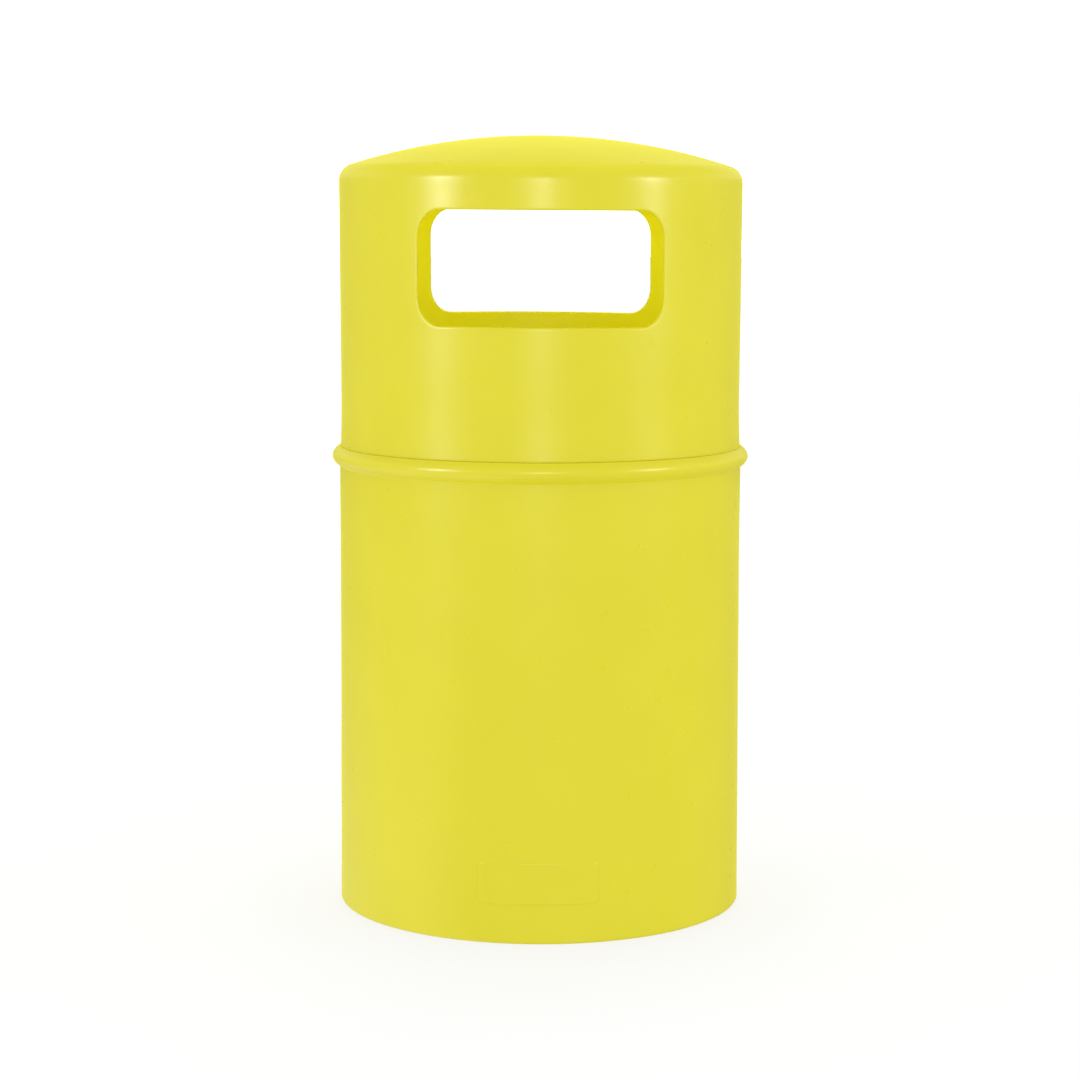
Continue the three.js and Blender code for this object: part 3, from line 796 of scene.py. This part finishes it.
def add_hood():
    profile, first_outer, first_inner, heights, block = hood_shape()
    start = heights.index(block[0])
    count = len(block)
    outer = list(range(first_outer + len(heights) - start - count, first_outer + len(heights) - start))
    inner = list(range(first_inner - 1 + start, first_inner - 1 + start + count))
    columns = {-1: [k % SEGMENTS for k in range(-PATCH_COLUMNS, PATCH_COLUMNS + 1)],
               1: [SEGMENTS // 2 + k for k in range(-PATCH_COLUMNS, PATCH_COLUMNS + 1)]}
    left_out = {k for side in columns.values() for k in side[:-1]}
    rows_out = set(outer[:-1]) | set(inner[:-1])
    shape, rows = lathe(profile, closed=False, skip=lambda i, k: i in rows_out and k in left_out)
    outer_rows = [rows[i] for i in reversed(outer)]
    inner_rows = [rows[i] for i in inner]
    for side, ks in columns.items():
        add_window(shape, outer_rows, inner_rows, ks, side)
    shape.moved(hood_lean)
    lock_z = node_middle("lock_housing")[2]
    cutter = rod_cutter(LOCK_HOLE_R, HOOD_FOOT - 3 * WALL, HOOD_FOOT + 2 * WALL)
    hole = cutter.moved(moved_by((0, 0, lock_z)))
    hood = piece("hood_cover", shape, "hood", "yellow_plastic", ["hood_shell"], holes=[hole])
    matt_inside_painted_bounce(hood, 0)


# ---- lock


BARREL_R = 9.5
LOCK_HOLE_R = 9.8  # the bore of the hood, the seal and the nut round the barrel
CORE_BORE_R = 5.0
NUT_SIDES = 6
NUT_CHAMFER = 0.97  # the nut's faces end at this share of its distance across the flats
NUT_CHAMFER_SLOPE = 0.55
NUT_BORE_EDGE = 0.4


def washer(bore, radius, low, high, bore_edge=0.15, edge=0.3):
    """A flat ring on the Y axis, with softly rounded edges."""
    corners = [(bore, low, bore_edge), (radius, low, edge), (radius, high, edge), (bore, high, bore_edge)]
    return turned(rounded(corners, closed=True, steps=3))


def threaded(radius, start, end, pitch, depth):
    """Profile rows of a thread, drawn as close rings, from start to end."""
    count = max(int(round((end - start) / pitch)), 1)
    rows = []
    for i in range(count):
        at = start + (end - start) * i / count
        rows += [(radius - depth, at), (radius, at + pitch / 2)]
    return rows + [(radius - depth, end)]


def nut(radius, hole, start, end):
    """A chamfered nut on the Y axis: a prism trimmed by a shallow cone at both faces."""
    shape = Shape()
    count = NUT_SIDES * 8
    angles = np.arange(count) * 2 * math.pi / count
    level = 0 * angles
    within = (angles + math.pi / 6) % (2 * math.pi / NUT_SIDES) - math.pi / NUT_SIDES
    flat = radius * math.cos(math.pi / NUT_SIDES)
    reach = flat / np.cos(within)
    face = np.minimum(reach, flat * NUT_CHAMFER)
    lip = (reach - flat * NUT_CHAMFER) * NUT_CHAMFER_SLOPE
    mouth = hole + NUT_BORE_EDGE
    rings = [(mouth, start), (face, start), (reach, start + lip), (reach, end - lip), (face, end),
             (mouth, end), (hole, end - NUT_BORE_EDGE), (hole, start + NUT_BORE_EDGE)]
    rows = [shape.add(np.stack([r * np.sin(angles), y + level, r * np.cos(angles)], -1)) for r, y in rings]
    shape.strips(rows, closed=True)
    return shape


def add_lock():
    low, high = node_box("lock_housing")
    z = (low[2] + high[2]) / 2
    back, front = low[1], high[1]
    at = moved_by((0, 0, z))

    def fit(name, shape, body, node, **more):
        piece(name, shape.moved(at), body, "zinc_plate", [node], **more)

    flange_r = (high[0] - low[0]) / 2
    gasket_low, gasket_high = (corner[1] for corner in node_box("lock_gasket"))
    flange_back = gasket_high + 0.3
    cup, cup_floor = 7.2, front - 8.3
    thread_start, thread_end = back + 1.2, flange_back - 6
    housing = rounded([(CORE_BORE_R, back, 0.3), (BARREL_R, back, 0.6), (BARREL_R, thread_start, 0)], steps=3)
    housing += threaded(BARREL_R, thread_start, thread_end, pitch=1.25, depth=0.45)
    housing += rounded([
        (BARREL_R, thread_end, 0), (BARREL_R, flange_back, 0.2), (flange_r, flange_back, 0.3),
        (flange_r, front - 1.4, 1.0), (flange_r - 2.4, front, 1.2), (cup + 0.6, front, 0.5),
        (cup, front - 0.8, 0.2), (cup, cup_floor, 0.2), (CORE_BORE_R, cup_floor, 0.3),
        (CORE_BORE_R, back + 0.4, 0)], steps=3)
    fit("lock_barrel", turned(housing), "hood", "lock_housing")

    seal_corners = [(LOCK_HOLE_R, gasket_low + 0.2, 0.2), (flange_r, gasket_low + 0.2, 0.3),
                    (flange_r, gasket_high, 0.4), (LOCK_HOLE_R, gasket_high, 0.2)]
    seal = turned(rounded(seal_corners, closed=True, steps=3))
    seat_r = float(hood_radius(z)) + 0.25

    def follow_wall(p):
        """Lays the seal's inner face on the round wall."""
        out = p.copy()
        wall = np.sqrt(seat_r**2 - p[:, 0] ** 2)
        out[:, 1] = np.where(p[:, 1] < gasket_high - 0.6, wall, p[:, 1])
        return out

    piece("lock_seal", seal.moved(follow_wall).moved(at), "hood", "black_rubber", ["lock_gasket"])
    low, high = node_box("lock_nut")
    fit("lock_back_nut", nut((high[2] - low[2]) / 2, LOCK_HOLE_R, low[1], high[1]), "hood", "lock_nut")

    # The key turns a three-sided stub; behind it the spindle ends in a square that carries the cam.
    spindle_back = node_box("lock_spindle")[0][1]
    core = rounded([(0, back, 0), (4.8, back, 0.2), (4.8, front - 8, 0.2), (7.0, front - 8, 0.3),
                    (7.0, front - 4, 0.5), (0, front - 4, 0)], steps=3)
    core_shape = turned(core, closed=False)
    stub = [(4.4 * math.sin(a), 4.4 * math.cos(a)) for a in (0, 2 * math.pi / 3, 4 * math.pi / 3)]
    stub = rounded([(u, v, 0.5) for u, v in stub], closed=True, steps=3)
    core_shape.join(prism(stub, front - 4.2, front, along_y))
    square = rounded([(3.2 * u, 3.2 * v, 0.6) for u, v in SQUARE], closed=True, steps=2)
    core_shape.join(prism(square, spindle_back, back + 0.2, along_y))
    fit("lock_core", core_shape, "lock", "lock_spindle")

    low, high = node_box("lock_cam")
    half = (high[0] - low[0]) / 2
    reach = z - low[2]
    outline = arc((0, 0), half, 0, 180, 16) + arc((0, half - reach), half, 180, 360, 16)
    cam = prism(outline, low[1], high[1], along_y)
    eye = [(3.4 * u, 3.4 * v) for u, v in SQUARE]
    hole = prism(eye, low[1] - 5, high[1] + 5, along_y).moved(at)
    fit("lock_lever", cam, "lock", "lock_cam", bevel=0.5, holes=[hole])

    low, high = node_box("cam_washer")
    fit("lever_washer", washer(2.7, 6.5, low[1], high[1]), "lock", "cam_washer")

    low, high = node_box("cam_screw")
    face, seat = low[1], low[1] + 2.5
    head = [(2.3, face + 1.4), (2.3, face + 0.2), (2.7, face), (3.2, face), (4.2, face + 0.6),
            (4.6, face + 1.4), (4.6, seat), (2.4, seat)]
    thread = threaded(2.4, seat, high[1], pitch=0.8, depth=0.3)
    screw = [(0, face + 1.4), *head, *thread, (0, high[1])]
    fit("lever_screw", turned(screw, closed=False), "lock", "cam_screw")


# ---- keeper


def add_keeper():
    low, high = node_box("keeper_bracket")
    thick = 3.0
    foot_out = BODY_R - WALL - 0.3
    plate_out = SPIGOT_R - WALL - 1.2
    joggle_top = SPIGOT_BOTTOM - 6
    foot_top = joggle_top - 14
    ledge_tip = node_box("lock_cam")[0][1] - 2.5
    bottom, top = low[2], high[2]
    profile = rounded([
        (foot_out, bottom, 0.8), (foot_out, foot_top, 4), (plate_out, joggle_top, 6), (plate_out, top, 3.6),
        (ledge_tip, top, 0.8), (ledge_tip, top - thick, 0.8), (plate_out - thick, top - thick, 1.0),
        (plate_out - thick, joggle_top, 3), (foot_out - thick, foot_top, 7), (foot_out - thick, bottom, 0.8)],
        closed=True)
    shape = Shape()
    rows = [shape.add([(x, math.sqrt(r * r - x * x), z) for r, z in profile])
            for x in np.linspace(low[0], high[0], 13)]
    shape.strips(rows)
    shape.cap(rows)
    piece("keeper_plate", shape, "body", "galvanised_steel", ["keeper_bracket"], bevel=0.4,
          holes=bolt_holes(plate_out - 3 * thick, foot_out + thick))
    for place, (angle, height) in zip(("lower", "upper"), bolt_places()):
        add_bolt(place, angle, height)


def radial_span(node, angle):
    """Nearest and furthest reach of a node along the bolt's own direction."""
    direction = np.array((-math.sin(angle), math.cos(angle)))
    points = np.array([v.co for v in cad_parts[node].data.vertices])[:, :2] / MM
    reach = points @ direction
    return reach.min(), reach.max()


def add_bolt(place, angle, height):
    def fasten(name, shape, node):
        piece(f"{name}_{place}", put_on_wall(shape, angle, height), "body", "zinc_plate", [f"{node}_{place}"])

    end, top = radial_span(f"keeper_bolt_{place}", angle)
    seat = top - 3.3
    head, shank = 6.5, 3.0
    dome = [(head * c, seat + 0.6 + 2.7 * s) for c, s in arc((0, 0), 1, 0, 90, 8)[:-1]]
    thread = threaded(shank, end + 0.5, seat - 9, pitch=1.0, depth=0.35)
    bolt = [(0, end), (2.4, end), *thread, (shank, seat - 8.5), (shank, seat), (head - 0.3, seat),
            (head, seat + 0.3), *dome, (0, top)]
    fasten("coach_bolt", turned(bolt, closed=False), "keeper_bolt")
    low, high = radial_span(f"keeper_washer_{place}", angle)
    fasten("plate_washer", washer(BOLT_HOLE_R, head, low, high), "keeper_washer")
    low, high = radial_span(f"keeper_nut_{place}", angle)
    fasten("hex_nut", nut(5.8, BOLT_HOLE_R, low, high), "keeper_nut")


# ---- liner

SHEET = 1.2
LINER_LOW, LINER_HIGH = node_box("liner_wall")
CURL_R = 3.5  # outside of the rolled rim
CURL_CENTRE = (LINER_HIGH[0] - CURL_R, LINER_HIGH[2] - CURL_R)
LINER_R = CURL_CENTRE[0] - CURL_R + SHEET
SWAGE_HEIGHTS = (150.0, 300.0, 440.0)
SWAGE_DEPTH = 1.6
SWAGE_SPREAD = 5.0
SEAM_ANGLE = math.pi - 0.22  # the bucket's seam is at the rear, beside the keeper
SEAM_HALF_WIDTH = 4.2
SEAM_RISE = 0.95
RIM_WIRE_R = 2.0
RIVET_HOLE_R = 2.7
DRAIN_CIRCLE = 90.0  # the pan's outer drain holes


def ridge(distance, height, spread):
    return height * np.exp(-((distance / spread) ** 2))


def swages(z):
    return sum(ridge(z - h, SWAGE_DEPTH, SWAGE_SPREAD) for h in SWAGE_HEIGHTS)


def rivet_holes(*sides):
    """Cutters along X for the rivets of the handle clips."""
    cutters = []
    for side in sides:
        for place in ("front", "rear"):
            cutter = rod_cutter(RIVET_HOLE_R, -12, 12).moved(turned_to_x)
            cutters.append(cutter.moved(moved_by(node_middle(f"clip_rivet_{side}_{place}"))))
    return cutters


def add_liner():
    heights = np.unique(np.concatenate([
        np.linspace(LINER_LOW[2], CURL_CENTRE[1] - 1, 60),
        *[h + np.linspace(-13, 13, 14) for h in SWAGE_HEIGHTS]]))
    curl_end = -math.degrees(1.2)
    profile = [(LINER_R + swages(z), z) for z in heights]
    profile += arc(CURL_CENTRE, CURL_R - SHEET, 180, curl_end, 18)
    profile += arc(CURL_CENTRE, CURL_R, curl_end, 180, 22)
    profile += [(LINER_R - SHEET + swages(z), z) for z in reversed(heights)]
    wall, _ = lathe(profile)
    # A folded lock seam stands out of the sheet.
    wide = SEAM_HALF_WIDTH
    half = [(wide + 0.9, -0.3), (wide, SEAM_RISE - 0.2), (wide - 0.8, SEAM_RISE)]
    across, lifts = np.array([(-u, lift) for u, lift in half] + half[::-1]).T
    angles = SEAM_ANGLE + across / LINER_R
    seam = Shape()
    rows = [seam.add(upright(LINER_R + swages(z) + lifts, angles, z)) for z in heights[1:-1]]
    seam.strips(rows)
    seam.cap(rows)
    piece("liner_bucket", wall, "liner", "galvanised_steel", ["liner_wall"],
          holes=rivet_holes("right", "left"))
    piece("liner_seam", seam, "liner", "galvanised_steel")

    ring, _ = lathe(arc(CURL_CENTRE, RIM_WIRE_R, 0, 360, 14)[:-1])
    piece("liner_bead_wire", ring, "liner", "galvanised_steel", ["liner_rim_wire"])

    low, high = node_box("liner_base")
    edge = LINER_R - SHEET - 0.3
    floor = low[2]
    pan_corners = [(0, floor, 0), (edge, floor, 3.0), (edge, high[2], 0.4), (edge - SHEET, high[2], 0.4),
                   (edge - SHEET, floor + SHEET, 1.8), (0, floor + SHEET, 0)]
    pan, _ = lathe(divided(rounded(pan_corners, steps=6), longest=12), closed=False)

    def dished(p):
        """Two shallow ridges pressed round the pan keep it stiff."""
        r = around_z(p)[0]
        out = p.copy()
        out[:, 2] += ridge(r - 140, height=2.0, spread=6) + ridge(r - 45, height=1.2, spread=5)
        return out

    drain = [(0, floor - 8), (5, floor - 8), (5, floor + 10), (0, floor + 10)]
    cutters = []
    for circle, quarter in ((0.0, 0), *[(DRAIN_CIRCLE, q) for q in range(4)]):
        cutter, _ = lathe(drain, SMALL_SEGMENTS, closed=False)
        angle = quarter * math.pi / 2
        cutters.append(cutter.moved(moved_by((circle * math.cos(angle), circle * math.sin(angle), 0))))
    piece("liner_pan", pan.moved(dished), "liner", "galvanised_steel", ["liner_base"], holes=cutters)


# ---- handles


HANDLE_BEND = 12.0  # rounding of the handle's corners, at the rod's middle
HANDLE_AROUND = 20  # points around the rod
WELD_AT, WELD_RISE, WELD_SPREAD = -18.0, 0.35, 3.0


def add_handle(side):
    low, high = node_box(f"handle_{side}")
    middle = (low + high) / 2
    rod = (high[0] - low[0]) / 2
    half = (high[1:] - low[1:]) / 2 - rod
    corners = [(u * half[0], v * half[1], HANDLE_BEND) for u, v in SQUARE]
    path = without_repeats(divided(rounded(corners, closed=True, steps=10), longest=9, support=2))
    shape = Shape()
    rings = []
    count = len(path)
    around = np.arange(HANDLE_AROUND) * 2 * math.pi / HANDLE_AROUND
    for i, p in enumerate(path):
        ahead = unit(path[(i + 1) % count] - path[i - 1])
        outward = np.array((ahead[1], -ahead[0]))
        on_lower_side = abs(p[1] + half[1]) < 1
        r = rod + (ridge(p[0] - WELD_AT, WELD_RISE, WELD_SPREAD) if on_lower_side else 0.0)
        rings.append(shape.add([
            (r * math.sin(a), p[0] + outward[0] * r * math.cos(a), p[1] + outward[1] * r * math.cos(a))
            for a in around]))
    shape.strips(rings, closed=True)
    shape.moved(moved_by(middle))
    piece(f"drop_handle_{side}", shape, f"{side}_handle", "zinc_plate", [f"handle_{side}"])


def add_clip(side, sign):
    low, high = node_box(f"handle_clip_{side}")
    rod_low, rod_high = node_box(f"handle_{side}")
    pivot_x = abs(rod_low[0] + rod_high[0]) / 2
    pivot_z = rod_high[2] - (rod_high[0] - rod_low[0]) / 2
    reach = max(abs(low[0]), abs(high[0])) - pivot_x
    thick = 2.5
    outer = high[2] - pivot_z
    inner = outer - thick
    foot = low[2] - pivot_z
    end = 90 + math.degrees(4.2)    # the curl stops short of the clip's straight part
    outline = rounded([(reach, foot, 0), (reach, outer, 3.2), (0, outer, 0)], steps=5)
    outline += arc((0, 0), outer, 90, end, 30)[1:]
    outline += arc((0, 0), inner, end, 90, 30)
    outline += rounded([(0, inner, 0), (reach - thick, inner, 1.0), (reach - thick, foot, 0)], steps=4)[1:]
    half = (high[1] - low[1]) / 2
    shape = prism(outline, -half, half, along_y)
    shape.moved(lambda p: np.stack([sign * (p[:, 0] + pivot_x), p[:, 1], p[:, 2] + pivot_z], -1))
    for place in ("front", "rear"):
        add_rivet(f"dome_rivet_{side}_{place}", f"clip_rivet_{side}_{place}")
    piece(f"handle_bracket_{side}", shape, "liner", "galvanised_steel", [f"handle_clip_{side}"],
          bevel=0.35, holes=rivet_holes(side))


def add_rivet(name, node):
    low, high = node_box(node)
    half = (high[0] - low[0]) / 2
    head, shank, rise = 4.5, 2.4, 2.2
    seat = half - rise
    dome = [(head * c, seat + 0.3 + (rise - 0.3) * s) for c, s in arc((0, 0), 1, 0, 80, 7)]
    far = [(shank, seat), (head - 0.2, seat), (head, seat + 0.15), *dome, (0, half)]
    near = [(r, -y) for r, y in reversed(far)]
    shape = turned([*near, *far], closed=False)
    shape.moved(turned_to_x).moved(moved_by((low + high) / 2))
    piece(name, shape, "liner", "zinc_plate", [node])


# ---- camera, floor and light

CAMERA_AT = Vector((0.0, -3.2992, 0.8403))
CAMERA_DOWN = 6.99  # degrees below the horizontal
CAMERA_ROLL = 0.135
CAMERA_LENS = 91.65
SENSOR = 36.0


def add_camera():
    data = bpy.data.cameras.new("camera")
    data.lens = CAMERA_LENS
    data.sensor_width = SENSOR
    data.clip_end = 100
    camera = placed("camera", data)
    tilt = Matrix.Rotation(math.radians(90 - CAMERA_DOWN), 4, "X")
    roll = Matrix.Rotation(math.radians(CAMERA_ROLL), 4, "Z")
    camera.matrix_world = Matrix.Translation(CAMERA_AT) @ tilt @ roll
    bpy.context.scene.camera = camera


def add_floor():
    """A plain white studio floor, lit a little from within so that it stays pale."""
    shape = Shape()
    rings = [shape.add(upright(r, np.arange(96) * math.pi / 48, 0.0)) for r in (400, 1500, 6000, 40000)]
    rings.insert(0, shape.add([(0, 0, 0)]))
    shape.strips(rings[::-1])
    floor = build("floor", shape)
    n = Nodes("studio_floor")
    colour = n.between(0.24, 0.26, 0.7, 3)
    roughness = n.between(0.9, 0.95, 3.0, 2)
    n.link(colour, n.shader.inputs["Base Color"])
    n.link(roughness, n.shader.inputs["Roughness"])
    n.shader.inputs["Specular IOR Level"].default_value = 0.0
    n.shader.inputs["Emission Color"].default_value = (1, 1, 1, 1)
    n.shader.inputs["Emission Strength"].default_value = 0.70
    floor.data.materials.append(n.material)
    floor.visible_glossy = False


# Strip lights that only reflections see: name, azimuth from the front in degrees, then width and the
# heights of bottom and top in metres, then radiance
STRIPS = (("strip_left", -56.0, 0.58, 0.78, 1.90, 21.0),
          ("strip_centre", 0.6, 0.32, 0.74, 1.45, 23.0),
          ("strip_right", 63.5, 0.48, 0.90, 1.90, 20.0))
STRIP_DISTANCE = 3.5
BACK_FILL = 0.23
BACK_FILL_DIRECTION = (0, 0.60, 0.80)
BACK_FILL_ANGLE = 50
INSIDE_FILL = 1.0
INSIDE_FILL_COLOUR = (1.0, 0.97, 0.10)
INSIDE_FILL_R = 0.09
WORLD_LIGHT = 0.975
SIDE_LIGHT = 0.48


def add_strips():
    for name, azimuth, width, bottom, top, radiance in STRIPS:
        data = bpy.data.lights.new(name, "AREA")
        data.shape = "RECTANGLE"
        data.size = width
        data.size_y = top - bottom
        data.energy = radiance * math.pi * data.size * data.size_y
        lamp = placed(name, data)
        a = math.radians(azimuth)
        away = Vector((math.sin(a), -math.cos(a), 0))
        lamp.location = away * STRIP_DISTANCE + Vector((0, 0, (bottom + top) / 2))
        lamp.rotation_mode = "QUATERNION"
        lamp.rotation_quaternion = (-away).to_track_quat("-Z", "Y")
        lamp.visible_camera = False
        lamp.visible_diffuse = False


def add_fills():
    """Soft lights without reflections: one from above and behind, and one that rides in the hood."""
    back = bpy.data.lights.new("fill_back", "SUN")
    back.energy = BACK_FILL * math.pi
    back.angle = math.radians(BACK_FILL_ANGLE)
    lamp = placed("fill_back", back)
    lamp.rotation_mode = "QUATERNION"
    lamp.rotation_quaternion = Vector(BACK_FILL_DIRECTION).to_track_quat("Z", "Y")
    lamp.visible_glossy = False
    inside = bpy.data.lights.new("fill_inside", "POINT")
    inside.energy = INSIDE_FILL
    inside.shadow_soft_size = INSIDE_FILL_R
    inside.color = INSIDE_FILL_COLOUR
    glow = placed("fill_inside", inside)
    glow.location = (0, 0, (OPENING_MIDDLE + 20) * MM)
    glow.visible_camera = False
    glow.visible_glossy = False
    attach(glow, "hood")


def add_world():
    """Even white light, stronger from the sides. Reflections see a softer room with a low backdrop."""
    world = bpy.data.worlds.new("studio")
    bpy.context.scene.world = world
    world.use_nodes = True
    world.cycles.sampling_method = "NONE"
    tree = world.node_tree
    tree.nodes.clear()
    new, link = tree.nodes.new, tree.links.new

    def ramp(source, *stops):
        return colour_ramp(tree, source, stops)

    def maths(operation, a, b):
        node = new("ShaderNodeMath")
        node.operation = operation
        for socket, value in zip(node.inputs, (a, b)):
            if isinstance(value, (int, float)):
                socket.default_value = value
            else:
                link(value, socket)
        return node.outputs[0]

    def background(strength):
        node = new("ShaderNodeBackground")
        node.inputs["Color"].default_value = (1, 1, 1, 1)
        link(strength, node.inputs["Strength"])
        return node.outputs[0]

    split = new("ShaderNodeSeparateXYZ")
    link(new("ShaderNodeTexCoord").outputs["Generated"], split.inputs[0])
    x, y, z = split.outputs
    path = new("ShaderNodeLightPath").outputs

    # What reflections see; depth is 0 in front and 1 behind.
    depth = maths("MULTIPLY_ADD", y, 0.5)
    depth.node.inputs[2].default_value = 0.5
    height = maths("MAXIMUM", z, 0.0)
    room = ramp(depth, (0.0, 0.45), (0.5, 0.25), (0.75, 0.14), (0.93, 0.07), (1.0, 0.03))
    backdrop = ramp(height, (0.03, 0.10), (0.12, 0.44), (0.25, 0.44), (0.42, 0.36), (0.53, 0.08),
                    (0.66, 0.02))
    behind = ramp(depth, (0.48, 0.0), (0.6, 1.0))
    low = ramp(maths("MULTIPLY", z, -1.0), (0.175, 0.0), (0.215, 1.0))
    left = ramp(maths("MULTIPLY", x, -1.0), (0.1, 0.0), (0.3, 1.0))
    glow = ramp(depth, (0.18, 0.0), (0.26, 1.0), (0.5, 0.75), (0.95, 0.24))
    glow = maths("MULTIPLY", maths("MULTIPLY", low, left), glow)
    seen = maths("ADD", maths("ADD", room, maths("MULTIPLY", behind, backdrop)), glow)

    # What lights the surfaces, and what the camera sees.
    sides = ramp(maths("ABSOLUTE", x, 0.0), (0.3, 0.0), (1.0, SIDE_LIGHT))
    level = maths("ADD", maths("ADD", sides, WORLD_LIGHT), path["Is Camera Ray"])

    mix = new("ShaderNodeMixShader")
    link(path["Is Glossy Ray"], mix.inputs[0])
    link(background(level), mix.inputs[1])
    link(background(seen), mix.inputs[2])
    link(mix.outputs[0], new("ShaderNodeOutputWorld").inputs["Surface"])


# ---- everything

add_camera()
add_body()
add_panel()
add_hood()
add_lock()
add_keeper()
add_liner()
for side, sign in (("right", 1), ("left", -1)):
    add_handle(side)
    add_clip(side, sign)
add_floor()
add_strips()
add_fills()
add_world()
bpy.context.scene.view_settings.view_transform = "Standard"
